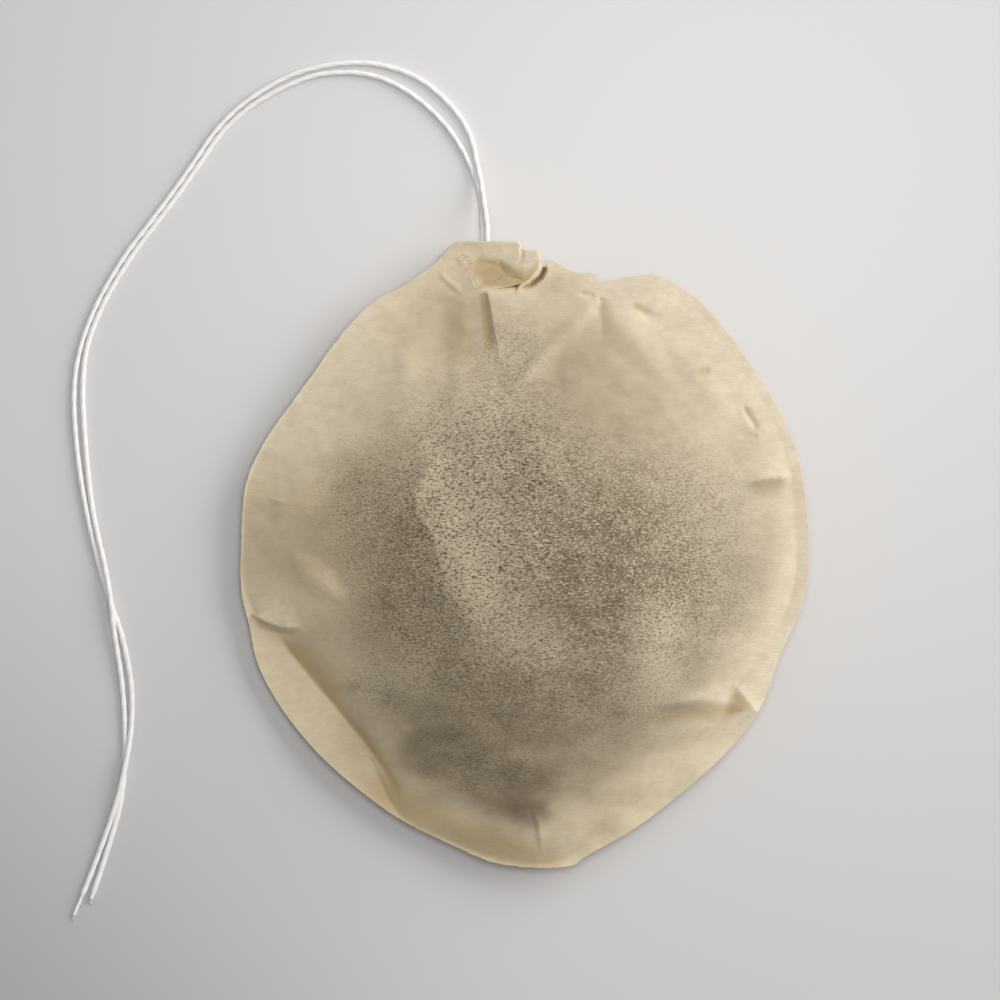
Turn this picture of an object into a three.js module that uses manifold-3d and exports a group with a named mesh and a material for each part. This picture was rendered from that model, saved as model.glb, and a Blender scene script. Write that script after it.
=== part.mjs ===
// A round drawstring filter pouch, filled and cinched, lying flat on a table with its string laid out.
// Millimetres, +Z up, +Y towards the gathered mouth, +X to the right as seen from above.
import * as THREE from "three";
import { mergeVertices } from "three/addons/utils/BufferGeometryUtils.js";
import Module from "manifold-3d";

// Driving dimensions.
const pouchWidth = 90;
const pouchLength = 99.5;
const puffHeight = 13.5;
const rimHeight = 5;
const rimWave = 0.4;
const paperWall = 0.4;
const neckRise = 2;
const fillGap = 0.5;
const stringDiameter = 0.9;
const hemClearance = 0.3;
const hemSeat = 0.4;
const hemPuckers = 12;
const puckerDepth = 0.4;
const mouthWidth = 3;
const mouthGap = 0.8;

// Mesh fineness.
const stepsPerPoint = 2;
const domeRings = 15;
const flangeRings = 3;
const baseRings = 6;
const fillRings = 9;
const stringSides = 8;
const hemSteps = 36;
const weldTolerance = 1e-5;

// The rim, anticlockwise from the right: share of half the width, share of half the length,
// and the width of the flat sealed flange there. At the mouth the flange is the gathered neck.
const rimPoints = [
  [0.998, -0.021, 5.5], [0.977, 0.233, 4.5], [0.918, 0.408, 3.5], [0.819, 0.567, 3], [0.693, 0.725, 2],
  [0.581, 0.827, 1.5], [0.461, 0.884, 2], [0.391, 0.881, 3], [0.268, 0.865, 4], [0.244, 0.89, 5],
  [0.177, 0.894, 6], [0.086, 0.932, 8], [0.058, 0.96, 9], [0.005, 0.967, 9.5], [-0.012, 0.992, 10.5],
  [-0.121, 0.995, 10.5], [-0.23, 0.989, 10], [-0.286, 0.951, 8], [-0.339, 0.906, 6], [-0.437, 0.846, 3],
  [-0.535, 0.798, 2], [-0.647, 0.694, 1.5], [-0.788, 0.519, 1.5], [-0.886, 0.398, 1.5], [-0.956, 0.287, 1.5],
  [-0.988, 0.186, 1.5], [-0.998, 0.027, 1], [-0.998, -0.116, 1], [-0.97, -0.227, 2.5], [-0.939, -0.354, 5.5],
  [-0.858, -0.49, 7], [-0.739, -0.624, 6.5], [-0.605, -0.735, 5], [-0.437, -0.846, 4], [-0.261, -0.925, 5],
  [-0.121, -0.979, 7], [0.019, -0.998, 7], [0.16, -0.992, 6], [0.223, -0.957, 6.5], [0.405, -0.862, 8],
  [0.616, -0.71, 9.5], [0.763, -0.576, 8], [0.844, -0.459, 6], [0.896, -0.322, 5], [0.967, -0.179, 5],
];

// Where the fill heaps highest, how far its dome spreads, and where the neck is gathered, in the same shares.
const crown = [0.03, -0.1];
const dome = { right: 0.9, left: -0.95, back: 0.86, front: -0.86 };
const neck = { at: [-0.11, 0.83], spread: [0.2, 0.14], sag: 0.6 };

// How the forms change from the crown, at 0, to the seal line, at 1. A dome that leans falls straighter.
const domeMeetsSeal = 0.5;
const domeLean = { front: 0.15, back: 0.75, from: -0.4, to: 0.9 };
const waveStart = 0.5;
const baseLiftStart = 0.6;
const baseFoldStart = 0.85;
const fillReach = { front: 0.88, back: 0.6, from: 0, to: 0.9 };
const fillEdgePower = 4;
const creaseEndWidth = 0.25;

// The waves round the rim: how many, how far they are turned, and their share of the full wave.
const rimWaves = [
  { count: 1, turned: 1.2, share: 3.5 },
  { count: 3, turned: 0.7, share: 1 },
  { count: 7, turned: 0, share: 0.6 },
];

// Creases of the upper paper. A path in shares, the rise of its line (a valley is below zero), how far its
// slopes reach to the left and the right of the path, and the shares of it that fade in and out.
const creases = {
  plateauEdge: {
    path: [[-0.28, 0.36], [-0.39, 0.17], [-0.19, -0.08], [-0.12, -0.24], [0.12, -0.36]],
    rise: 0.9, left: 7, right: 4, fade: [0.35, 0.35],
  },
  lowerRightValley: {
    path: [[0.35, -0.5], [0.62, -0.49], [0.82, -0.47]],
    rise: -1.8, left: 4, right: 5, fade: [0.5, 0.15],
  },
  lowerRightRidge: {
    path: [[0.21, -0.77], [0.44, -0.73], [0.67, -0.64]],
    rise: 1.3, left: 5, right: 4, fade: [0.35, 0.35],
  },
  rightFacetUpperEdge: {
    path: [[0.73, -0.42], [0.89, -0.34]],
    rise: 1.4, left: 4, right: 3, fade: [0.1, 0.2],
  },
  rightFacetLowerEdge: {
    path: [[0.73, -0.41], [0.82, -0.5]],
    rise: 1.5, left: 4, right: 1.2, fade: [0.1, 0.3],
  },
  bottomPinch: {
    path: [[0.05, -0.8], [0.06, -0.96]],
    rise: 1.7, left: 9, right: 1.2, fade: [0.4, 0.3],
  },
  leftPinchValley: {
    path: [[-0.98, -0.2], [-0.77, -0.26]],
    rise: -1.3, left: 2.2, right: 2.5, fade: [0.2, 0.6],
  },
  leftPinchRidge: {
    path: [[-0.98, -0.15], [-0.79, -0.22]],
    rise: 1, left: 3, right: 1.5, fade: [0.2, 0.5],
  },
  shortCrease: {
    path: [[-0.63, -0.43], [-0.38, -0.47]],
    rise: -0.9, left: 2.2, right: 1.8, fade: [0.4, 0.5],
  },
  leftShoulderCrease: {
    path: [[-0.96, 0.19], [-0.79, 0.25], [-0.61, 0.33]],
    rise: 0.9, left: 4.5, right: 2.5, fade: [0.3, 0.4],
  },
  leftStreak: {
    path: [[-0.95, 0.09], [-0.79, -0.02], [-0.63, -0.15]],
    rise: 0.7, left: 3, right: 2, fade: [0.4, 0.4],
  },
  diagonalRidgeFromTheNeck: {
    path: [[0.26, 0.82], [0.12, 0.69], [-0.02, 0.57], [-0.09, 0.46]],
    rise: 1.3, left: 2.5, right: 4, fade: [0.25, 0.4],
  },
  rightRidgeFromTheNeck: {
    path: [[0.31, 0.8], [0.44, 0.65], [0.58, 0.49]],
    rise: 1, left: 4, right: 4, fade: [0.25, 0.5],
  },
  rightShoulderValley: {
    path: [[0.26, 0.87], [0.29, 0.66]],
    rise: -1.4, left: 3.5, right: 1.8, fade: [0.2, 0.6],
  },
  frontPleat: {
    path: [[-0.14, 0.83], [-0.11, 0.74], [-0.08, 0.53]],
    rise: 1.8, left: 8, right: 0.9, fade: [0.1, 0.6],
  },
  valleyBesideThePleat: {
    path: [[-0.17, 0.83], [-0.15, 0.71], [-0.12, 0.55]],
    rise: -1.2, left: 1.2, right: 3, fade: [0.2, 0.6],
  },
  leftFoldOfTheNeck: {
    path: [[-0.34, 0.91], [-0.27, 0.86], [-0.2, 0.81]],
    rise: 1, left: 3.5, right: 2, fade: [0.3, 0.3],
  },
  rightShoulderDent: {
    path: [[0.6, 0.64], [0.66, 0.55]],
    rise: -0.7, left: 2.5, right: 2.5, fade: [0.35, 0.35],
  },
  rightEdgeCrease: {
    path: [[0.73, 0.47], [0.82, 0.38], [0.74, 0.36]],
    rise: -0.8, left: 2, right: 1.8, fade: [0.35, 0.35],
  },
  rightEdgeFold: {
    path: [[0.76, 0.2], [0.97, 0.25]],
    rise: -0.9, left: 1.8, right: 3, fade: [0.4, 0.2],
  },
  rightOfTheMiddle: {
    path: [[0.41, -0.47], [0.43, -0.31], [0.58, -0.17]],
    rise: 0.9, left: 4, right: 5, fade: [0.35, 0.35],
  },
  gapBesideTheHem: {
    path: [[-0.01, 0.84], [0.04, 0.87], [0.08, 0.91], [0.09, 0.94]],
    rise: -1.6, left: 2, right: 2, fade: [0.25, 0.2],
  },
  pocketOfTheMouth: {
    path: [[-0.21, 0.93], [-0.12, 0.91], [-0.03, 0.92]],
    rise: -1.8, left: 2.6, right: 2.6, fade: [0.3, 0.3],
  },
};

// The rolled hem around the pocket of the mouth, in shares, clockwise from the back.
const hemPoints = [
  [-0.086, 0.97], [-0.016, 0.967], [0.026, 0.954], [0.037, 0.929], [0.019, 0.897], [-0.023, 0.871],
  [-0.086, 0.86], [-0.163, 0.854], [-0.219, 0.865], [-0.258, 0.89], [-0.265, 0.932], [-0.219, 0.963],
  [-0.163, 0.97],
];

// Where the two ends of the string leave the back of the hem, in shares, and the string's way inside the hem.
const stringExit = [-0.139, 1.008];
const hemRun = [
  [-0.127, 0.984], [-0.11, 0.974], ...hemPoints.slice(0, -1), [-0.191, 0.97], [-0.167, 0.974], [-0.151, 0.984],
];

// The mouth's front under the hem and its pocket, in shares, and the place inside that it leads from:
// the turn of the rim behind it, and how far out from the crown.
const mouthFront = [-0.12, 0.86];
const mouthPocket = [-0.12, 0.92];
const mouthInside = { turn: 1 / 3, reach: 0.85 };

// The string's two free ends on the table: steps right and up from the exit, and the height of the middle.
const rightTail = [
  [0.5, 0, 6.3], [0.3, 2.2, 5], [-0.2, 5.4, 3.2], [-0.7, 8.8, 1.9], [-1.4, 12, 0.9], [-2.1, 15.2, 0.5],
  [-3.5, 18.3, 0.5], [-6, 21.5, 0.5], [-9.6, 24.6, 0.5], [-13.4, 26.5, 0.5], [-17.9, 27.6, 0.5],
  [-22.1, 27.7, 0.5], [-26.4, 27.1, 0.5], [-30.8, 25.8, 0.5], [-35.2, 23.5, 0.5], [-39.5, 20.4, 0.5],
  [-43.1, 16.6, 0.5], [-46.4, 11.8, 0.5], [-49.8, 7, 0.5], [-53.4, 2.2, 0.5], [-57.3, -3, 0.5],
  [-61.4, -10, 0.5], [-64.2, -17.2, 0.5], [-65.3, -24.5, 0.5], [-64.8, -33.8, 0.5], [-63.4, -43, 0.5],
  [-61.3, -52, 0.5], [-59.6, -57.5, 0.5], [-57.6, -63.5, 0.5], [-56.2, -71, 0.5], [-56.2, -78, 0.8],
  [-57.4, -85.2, 1.5], [-59.3, -92, 0.9], [-62.3, -100.2, 0.5], [-65.3, -107.6, 0.5],
];
const leftTail = [
  [-0.5, 0, 6.3], [-0.6, 2.2, 4.4], [-0.7, 5.4, 2.2], [-1.5, 8.8, 0.9], [-2.8, 12.3, 0.5], [-4.6, 15.5, 0.5],
  [-6.6, 18.2, 0.5], [-9.3, 20.9, 0.5], [-12.5, 23.3, 0.5], [-16, 25.1, 0.5], [-19.4, 26, 0.5],
  [-22.9, 26.2, 0.5], [-26.7, 25.8, 0.5], [-30.3, 24.6, 0.5], [-34, 22.8, 0.5], [-37.6, 20.2, 0.5],
  [-41.5, 16.3, 0.5], [-45.3, 11.4, 0.5], [-49, 6.3, 0.5], [-52.5, 1.7, 0.5], [-56.1, -3.4, 0.5],
  [-60.1, -10.2, 0.5], [-62.9, -17.4, 0.5], [-63.9, -24.5, 0.5], [-63.4, -33.8, 0.5], [-62, -43.2, 0.6],
  [-60.3, -52.4, 1.2], [-59.4, -57.6, 1.5], [-58.9, -62.4, 1.1], [-57.7, -70.5, 0.6], [-57.2, -78, 0.5],
  [-57.3, -85.2, 0.5], [-58.3, -91.5, 0.5], [-60.8, -99.8, 0.5], [-62.6, -105.1, 0.5],
];

const wasm = await Module();
wasm.setup();

function at([across, along]) {
  return new THREE.Vector2((across * pouchWidth) / 2, (along * pouchLength) / 2);
}

function ease(low, high, value) {
  return THREE.MathUtils.smoothstep(value, low, high);
}

// The closed rim, with the flange width as its third number.
const rim = new THREE.CatmullRomCurve3(
  rimPoints.map(([across, along, flange]) => new THREE.Vector3(...at([across, along]).toArray(), flange)),
  true, "catmullrom", 0.5,
);
const outlineSteps = rimPoints.length * stepsPerPoint;
const crownPoint = at(crown);

// A point of the paper: reach runs from 0 at the crown to 1 at the seal line and 2 at the rim.
function spotAt(turn, reach) {
  const edge = rim.getPoint(turn % 1);
  const edgePoint = new THREE.Vector2(edge.x, edge.y);
  const ray = edgePoint.clone().sub(crownPoint);
  const sealShare = 1 - edge.z / ray.length();
  const inside = Math.min(reach, 1);
  const share = sealShare * inside + (1 - sealShare) * Math.max(reach - 1, 0);
  const place = crownPoint.clone().addScaledVector(ray, share);
  return { x: place.x, y: place.y, turn, inside, backward: ray.y / ray.length() };
}

// How strongly a place belongs to the gathered neck.
function neckShare(x, y) {
  const middle = at(neck.at);
  const spread = at(neck.spread);
  return Math.exp(-(((x - middle.x) / spread.x) ** 2) - ((y - middle.y) / spread.y) ** 2);
}

// The height that one crease adds at a place.
function creaseRise(crease, x, y) {
  const place = new THREE.Vector2(x, y);
  const path = crease.path.map(at);
  const lengths = path.slice(1).map((end, k) => end.distanceTo(path[k]));
  const total = lengths.reduce((sum, length) => sum + length, 0);
  let nearest = { distance: Infinity, side: 0, along: 0 };
  let run = 0;
  lengths.forEach((length, k) => {
    const heading = path[k + 1].clone().sub(path[k]).divideScalar(length);
    const offset = place.clone().sub(path[k]);
    const along = THREE.MathUtils.clamp(offset.dot(heading), 0, length);
    const distance = offset.distanceTo(heading.clone().multiplyScalar(along));
    if (distance < nearest.distance) {
      nearest = { distance, side: heading.cross(offset), along: (run + along) / total };
    }
    run += length;
  });
  const [fadeIn, fadeOut] = crease.fade;
  const strength = Math.min(1, nearest.along / fadeIn, (1 - nearest.along) / fadeOut);
  const width = (nearest.side > 0 ? crease.left : crease.right) * THREE.MathUtils.lerp(creaseEndWidth, 1, strength);
  return crease.rise * strength * Math.max(0, 1 - nearest.distance / width);
}

function allCreases(x, y) {
  return Object.values(creases).reduce((sum, crease) => sum + creaseRise(crease, x, y), 0);
}

// The height of the seam where the two plies meet, waving gently round the rim.
function seamHeight(spot) {
  const swell = ({ count, turned, share }) => share * Math.sin(2 * Math.PI * count * spot.turn + turned);
  const wave = rimWaves.reduce((sum, each) => sum + swell(each), 0);
  const strength = ease(waveStart, 1, spot.inside) * (1 - neckShare(spot.x, spot.y));
  return rimHeight + rimWave * wave * strength;
}

// The dome's own distance from the crown: about 1 at the seal line, and smooth where the rim has steps.
function domeReach(x, y) {
  const corner = at([x > crownPoint.x ? dome.right : dome.left, y > crownPoint.y ? dome.back : dome.front]);
  const spread = corner.sub(crownPoint);
  return Math.hypot((x - crownPoint.x) / spread.x, (y - crownPoint.y) / spread.y);
}

// The dome over the fill: full in front of the crown, falling straighter towards the neck.
function puffAt(spot) {
  const lean = THREE.MathUtils.lerp(domeLean.front, domeLean.back, ease(domeLean.from, domeLean.to, spot.backward));
  const smooth = Math.min(1, domeReach(spot.x, spot.y));
  const reach = THREE.MathUtils.lerp(smooth, spot.inside, ease(domeMeetsSeal, 1, spot.inside));
  return puffHeight * (1 - reach ** 2) * (1 - lean * reach ** 2);
}

function smoothTop(spot) {
  return seamHeight(spot) + paperWall + puffAt(spot) + neckRise * neckShare(spot.x, spot.y);
}

function topHeight(spot) {
  return smoothTop(spot) + allCreases(spot.x, spot.y);
}

// The lower ply lies flat on the table, lifts to the seam near the rim and shares the folds of the flange.
function baseHeight(spot) {
  const lift = ease(baseLiftStart, 1, spot.inside);
  const gather = neckShare(spot.x, spot.y);
  const fold = allCreases(spot.x, spot.y) * ease(baseFoldStart, 1, spot.inside) * (1 - gather);
  return Math.max(0, (seamHeight(spot) - paperWall) * lift * (1 - neck.sag * gather) + fold);
}

function innerTop(spot) {
  return topHeight(spot) - paperWall;
}

// The inner faces meet at the seal line, and stand apart only where the neck is gathered.
function innerBase(spot) {
  const top = innerTop(spot);
  const base = baseHeight(spot) + paperWall;
  const closed = spot.inside === 1 && top - base < paperWall;
  return closed ? top : Math.min(base, top);
}

// The fill rests on the lower ply and stays under every valley of the upper one.
function fillBase(spot) {
  return baseHeight(spot) + paperWall + fillGap;
}

function fillTop(spot, share) {
  const ceiling = smoothTop(spot) + Math.min(0, allCreases(spot.x, spot.y)) - paperWall - fillGap;
  const floor = fillBase(spot);
  return floor + Math.max(0, ceiling - floor) * (1 - share ** fillEdgePower);
}

function fillSpot(turn, share) {
  const backward = ease(fillReach.from, fillReach.to, spotAt(turn, 1).backward);
  return spotAt(turn, share * THREE.MathUtils.lerp(fillReach.front, fillReach.back, backward));
}

// A closed skin with one ring of points for each entry, from the crown over the rim and back to the axis.
// A lathe turns clockwise seen from above, so the rim is followed backwards.
function spin(rings) {
  const profile = rings.map((ring, k) => new THREE.Vector2(k === 0 || k === rings.length - 1 ? 0 : 1, -k));
  const skin = new THREE.LatheGeometry(profile, outlineSteps);
  const position = skin.attributes.position;
  for (let step = 0; step <= outlineSteps; step += 1) {
    rings.forEach((ring, k) => {
      const spot = ring.spot(1 - step / outlineSteps);
      position.setXYZ(step * rings.length + k, spot.x, spot.y, ring.height(spot));
    });
  }
  return skin;
}

function ring(reach, height) {
  return { spot: (turn) => spotAt(turn, reach), height };
}

function ringsBetween(from, to, count, height) {
  return Array.from({ length: count }, (_, k) => ring(from + ((to - from) * k) / count, height));
}

// A geometry whose shared points are merged, without the flat triangles at its poles.
function weld(geometry) {
  const bare = geometry.clone();
  bare.deleteAttribute("normal");
  bare.deleteAttribute("uv");
  const welded = mergeVertices(bare, weldTolerance);
  const index = welded.index.array;
  const kept = [];
  for (let k = 0; k < index.length; k += 3) {
    const [a, b, c] = [index[k], index[k + 1], index[k + 2]];
    if (a !== b && b !== c && c !== a) kept.push(a, b, c);
  }
  welded.setIndex(kept);
  return welded;
}

function solid(geometry) {
  const welded = weld(geometry);
  return new wasm.Manifold(new wasm.Mesh({
    numProp: 3,
    vertProperties: new Float32Array(welded.attributes.position.array),
    triVerts: new Uint32Array(welded.index.array),
  }));
}

function geometryOf(body) {
  const mesh = body.getMesh();
  const geometry = new THREE.BufferGeometry();
  geometry.setAttribute("position", new THREE.BufferAttribute(new Float32Array(mesh.vertProperties), 3));
  geometry.setIndex(new THREE.BufferAttribute(new Uint32Array(mesh.triVerts), 1));
  geometry.computeVertexNormals();
  return geometry;
}

// A route whose steps fall on its own points, so that tight turns keep theirs.
class Route extends THREE.CatmullRomCurve3 {
  getUtoTmapping(u) {
    return u;
  }
}

function tube(points, section) {
  const path = new Route(points);
  return new THREE.ExtrudeGeometry(section, { extrudePath: path, steps: points.length - 1, bevelEnabled: false });
}

function roundSection(radius) {
  const corner = (k) => {
    const angle = (2 * Math.PI * k) / stringSides;
    return new THREE.Vector2(radius * Math.cos(angle), radius * Math.sin(angle));
  };
  return new THREE.Shape(Array.from({ length: stringSides }, (_, k) => corner(k)));
}

function slitSection(wide, high) {
  const half = new THREE.Vector2(wide / 2, high / 2);
  return new THREE.Shape([
    new THREE.Vector2(-half.x, 0), new THREE.Vector2(-half.x / 2, -half.y), new THREE.Vector2(half.x / 2, -half.y),
    new THREE.Vector2(half.x, 0), new THREE.Vector2(half.x / 2, half.y), new THREE.Vector2(-half.x / 2, half.y),
  ]);
}

// The middle of the rolled hem over a place on the neck.
function hemPlace(share) {
  const place = at(share);
  const height = rimHeight + paperWall + neckRise * neckShare(place.x, place.y) + hemSeat;
  return new THREE.Vector3(place.x, place.y, height);
}

const tunnelRadius = stringDiameter / 2 + hemClearance;
const hemRadius = tunnelRadius + paperWall;
const exitPlace = at(stringExit);

function tailPlace([across, along, height]) {
  return new THREE.Vector3(exitPlace.x + across, exitPlace.y + along, height);
}

// The rolled hem, puckered outwards by the string that gathers it.
function hemRing() {
  const path = new THREE.CatmullRomCurve3(hemPoints.map(hemPlace), true);
  const ring = new THREE.TubeGeometry(path, hemSteps, hemRadius, stringSides, true);
  const position = ring.attributes.position;
  const point = new THREE.Vector3();
  for (let k = 0; k < position.count; k += 1) {
    const share = Math.floor(k / (stringSides + 1)) / hemSteps;
    const centre = path.getPointAt(share % 1);
    const pucker = (1 + Math.cos(2 * Math.PI * hemPuckers * share)) / 2;
    point.fromBufferAttribute(position, k).sub(centre).multiplyScalar(1 + (pucker * puckerDepth) / hemRadius);
    position.setXYZ(k, ...point.add(centre).toArray());
  }
  return ring;
}

// The string's way through the hem, cut in two halves that meet at the front.
function hemTunnel() {
  const run = hemRun.map(hemPlace);
  const front = Math.floor(run.length / 2);
  const right = [tailPlace(rightTail[1]), tailPlace(rightTail[0]), ...run.slice(0, front + 2)];
  const left = [...run.slice(front - 1), tailPlace(leftTail[0]), tailPlace(leftTail[1])];
  return [right, left].map((points) => solid(tube(points, roundSection(tunnelRadius))));
}

// The mouth: a narrow way from the inside, under the front of the hem, out into the pocket.
function mouthSlit() {
  const inner = spotAt(mouthInside.turn, mouthInside.reach);
  const front = hemPlace(mouthFront);
  const height = front.z - hemRadius - mouthGap;
  const points = [
    new THREE.Vector3(front.x, inner.y, (innerTop(inner) + innerBase(inner)) / 2),
    new THREE.Vector3(front.x, front.y, height),
    new THREE.Vector3(front.x, hemPlace(mouthPocket).y, height),
  ];
  return solid(tube(points, slitSection(mouthWidth, mouthGap)));
}

// Both plies, welded at the seal, with the hollow between them and the hem with its tunnel.
function filterPouch() {
  const outer = solid(spin([
    ...ringsBetween(0, 1, domeRings, topHeight),
    ...ringsBetween(1, 2, flangeRings, topHeight),
    ring(2, topHeight),
    ...ringsBetween(2, 1, flangeRings, baseHeight),
    ...ringsBetween(1, 0, baseRings, baseHeight),
    ring(0, baseHeight),
  ]));
  const hollow = solid(spin([
    ...ringsBetween(0, 1, domeRings, innerTop),
    ring(1, innerTop),
    ...ringsBetween(1, 0, baseRings, innerBase),
    ring(0, innerBase),
  ]));
  const cuts = [hollow, ...hemTunnel(), mouthSlit()];
  return geometryOf(cuts.reduce((body, cut) => body.subtract(cut), outer.add(solid(hemRing()))));
}

function coffeeGrounds() {
  const shares = Array.from({ length: fillRings + 1 }, (_, k) => k / fillRings);
  const upper = shares.map((share) => ({
    spot: (turn) => fillSpot(turn, share), height: (spot) => fillTop(spot, share),
  }));
  const lower = shares.slice(0, -1).reverse().map((share) => ({
    spot: (turn) => fillSpot(turn, share), height: fillBase,
  }));
  return geometryOf(solid(spin([...upper, ...lower])));
}

// One string: from its right end, through the hem, to its left end.
function drawstring() {
  const points = [
    ...rightTail.map(tailPlace).reverse(),
    ...hemRun.map(hemPlace),
    ...leftTail.map(tailPlace),
  ];
  return geometryOf(solid(tube(points, roundSection(stringDiameter / 2))));
}

function piece(name, geometry, color, roughness) {
  const material = new THREE.MeshStandardMaterial({ color, roughness, metalness: 0 });
  const mesh = new THREE.Mesh(geometry, material);
  mesh.name = name;
  return mesh;
}

const paper = filterPouch();
paper.computeBoundingBox();
const middle = paper.boundingBox.getCenter(new THREE.Vector3());

const pouch = new THREE.Group();
pouch.name = "drawstring_filter_pouch";
pouch.position.set(-middle.x, -middle.y, -paper.boundingBox.min.z);
pouch.add(piece("filter_pouch", paper, 0xd3c3a0, 0.9));
pouch.add(piece("coffee_grounds", coffeeGrounds(), 0x3a2a1e, 0.95));
pouch.add(piece("drawstring", drawstring(), 0xf1eee8, 0.8));

export default pouch;
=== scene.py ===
# A filled round filter pouch, cinched by its drawstring, on a pale table. Metres, in the part's own frame.
import math

import bmesh
import bpy
import numpy as np
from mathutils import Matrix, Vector, noise


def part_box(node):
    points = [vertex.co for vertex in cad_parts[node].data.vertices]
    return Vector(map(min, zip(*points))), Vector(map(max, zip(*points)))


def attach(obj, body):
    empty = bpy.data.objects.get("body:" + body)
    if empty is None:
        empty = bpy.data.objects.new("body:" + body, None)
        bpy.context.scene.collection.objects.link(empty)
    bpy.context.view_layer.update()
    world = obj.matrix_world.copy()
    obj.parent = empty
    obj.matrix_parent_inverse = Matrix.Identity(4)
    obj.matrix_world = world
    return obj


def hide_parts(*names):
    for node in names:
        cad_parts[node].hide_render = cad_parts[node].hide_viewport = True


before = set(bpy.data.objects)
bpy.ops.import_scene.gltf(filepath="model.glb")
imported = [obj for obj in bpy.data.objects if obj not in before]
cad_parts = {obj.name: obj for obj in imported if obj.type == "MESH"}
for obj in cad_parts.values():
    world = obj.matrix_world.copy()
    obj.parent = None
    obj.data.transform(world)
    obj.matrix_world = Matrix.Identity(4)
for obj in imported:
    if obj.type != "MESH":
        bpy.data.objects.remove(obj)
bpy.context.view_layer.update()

# The camera, the table, the light and the grain are in metres. The lists after them are in millimetres, or in
# shares of half the pouch's width and length.
MM = 0.001
low_corner, high_corner = (np.array(corner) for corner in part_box("filter_pouch"))
half_size = (high_corner - low_corner)[:2] / 2 / MM

# The camera looks straight down, and the picture is this wide at the height of the rim.
CAMERA_HEIGHT = 1
PICTURE_WIDTH = 0.158
PICTURE_MIDDLE = (-0.0039, 0.0085)
SENSOR_WIDTH = 36
CAMERA_NEAR = 0.01

# The table, and the light over it: a large window behind to the right, a small lamp above and a soft room.
TABLE_SIZE = 3
# The table's colour is painted darker away from the light, as painted shade, from one place to the other
# along this heading.
TABLE_SHADE_HEADING = (0.7, 0.7, 0)
TABLE_SHADE_FROM, TABLE_SHADE_TO = -0.14, -0.04
WINDOW = {"place": (0.63, 0.38, 0.36), "aim": (0, 0, 0), "size": 0.8, "power": 7.7}
LAMP = {"place": (0.033, 0.081, 0.7), "aim": (0.018, 0.051, 0), "size": 0.2, "power": 1.2}
LIGHT_COLOUR = (1, 0.985, 0.97)
ROOM_COLOUR = (0.97, 0.985, 1, 1)
ROOM_STRENGTH = 0.33

# The sockets of a mix node that mixes colours: its share and both colours, and the result.
MIX_INPUTS = (0, 6, 7)
MIX_OUTPUT = 2

# Colours as screen values of 0 to 255.
COLOURS = {
    "pale paper": (236, 222, 195),
    "clouded paper": (226, 211, 183),
    "paper fibre": (204, 187, 156),
    # Folded paper: the colour of the painted warm shade in creases, hollows and the pocket of the mouth.
    "folded paper": (190, 166, 120),
    # Stained paper: grounds seen through the paper, and painted shade where patches stand in for the dome's
    # slopes.
    "stained paper": (123, 108, 87),
    "dark grain": (80, 69, 57),
    "pale grain": (208, 196, 173),
    "dark roast": (46, 30, 20),
    "light roast": (92, 64, 42),
    "shaded cotton": (239, 237, 235),
    "bright cotton": (244, 242, 240),
    "shaded table": (166, 164, 163),
    "pale table": (206, 204, 203),
}

# The grain of the materials along X, Y and Z, and the depth of their relief.
GRAIN = {
    "paper fibres": (0.0013, 0.00026, 0.0008),
    "paper clouds": (0.0019, 0.0012, 0.0015),
    "clumps of grounds": (0.004, 0.003, 0.003),
    "single grains": (0.00055, 0.00027, 0.0003),
    "roast": (0.0008, 0.0008, 0.0008),
    "cotton fuzz": (0.0003, 0.0003, 0.0003),
}
ROAST_CELLS_PER_METRE = 1400.0
FIBRE_RELIEF = 0.00008
GRAIN_RELIEF = 0.00012
ROAST_RELIEF = 0.0003
FUZZ_RELIEF = 0.00005
SOFT_RELIEF = 0.6
# How far the painted warm shade turns the paper towards its colour.
FOLD_SHADE_TINT = 0.85

# The string: two free ends that leave the back of the hem. Their points are measured from there in X and Y,
# and from the table in Z.
STRING_DIAMETER = 0.9
STRING_EXIT = (-0.139, 1.008)
RIGHT_TAIL = [
    (0.3, -1.6, 5.4), (0.35, 0, 5.6), (0.25, 2.2, 4.8), (-0.2, 5.4, 3.2), (-0.7, 8.8, 1.9),
    (-1.4, 12, 0.9), (-2.1, 15.2, 0.5),
    (-3.5, 18.3, 0.5), (-6, 21.5, 0.5), (-9.6, 24.6, 0.5), (-13.4, 26.5, 0.5), (-17.9, 27.6, 0.5),
    (-22.1, 27.7, 0.5), (-26.4, 27.1, 0.5), (-30.8, 25.8, 0.5), (-35.2, 23.5, 0.5), (-39.5, 20.4, 0.5),
    (-43.1, 16.6, 0.5), (-46.4, 11.8, 0.5), (-49.8, 7, 0.5), (-53.4, 2.2, 0.5), (-57.3, -3, 0.5),
    (-61.4, -10, 0.5), (-64.2, -17.2, 0.5), (-65.3, -24.5, 0.5), (-64.8, -33.8, 0.5), (-63.4, -43, 0.5),
    (-61.3, -52, 0.5), (-59.6, -57.5, 0.5), (-57.6, -63.5, 0.5), (-56.2, -71, 0.5), (-56.2, -78, 0.8),
    (-57.4, -85.2, 1.5), (-59.3, -92, 0.9), (-62.3, -100.2, 0.5), (-65.3, -107.6, 0.5),
]
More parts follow.
